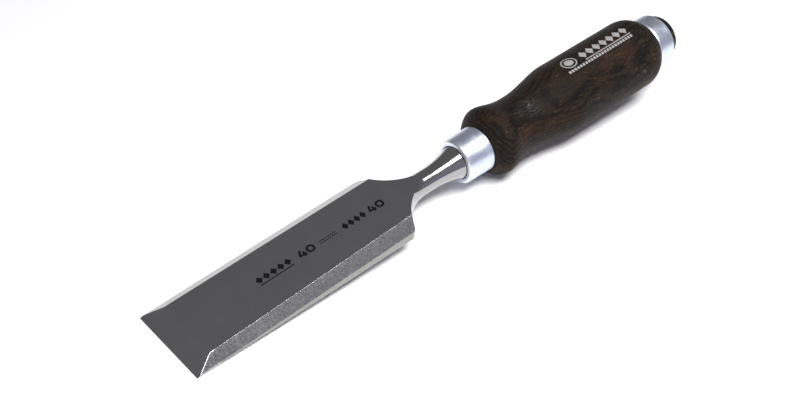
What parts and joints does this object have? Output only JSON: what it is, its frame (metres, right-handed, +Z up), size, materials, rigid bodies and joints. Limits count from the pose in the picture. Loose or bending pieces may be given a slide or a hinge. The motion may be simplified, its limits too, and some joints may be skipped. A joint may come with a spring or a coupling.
{
  "type": "bench chisel",
  "caption": "Wide bevel-edge bench chisel with a turned dark wooden handle, a tapered steel ferrule at the neck and a steel striking hoop at the butt.",
  "frame": {"origin": "middle of the footprint on the bench, at bench height, with the tool lying on its cutting edge and the front bead of its handle", "axes": "+X from the cutting edge towards the striking end, +Y across the blade, +Z up from the bench; the flat back of the blade faces down and is tilted 4.0 degrees"},
  "size_m": [0.3086, 0.04, 0.0423],
  "materials": {
    "blade_steel": "satin ground faces, bright ground bevels, polished neck",
    "ring_steel": "bright zinc plate",
    "handle_wood": "dark brown stain under satin lacquer"
  },
  "bodies": {
    "root": {"blade": "blade_steel", "ferrule": "ring_steel", "handle": "handle_wood", "hoop": "ring_steel"}
  },
  "joints": []
}
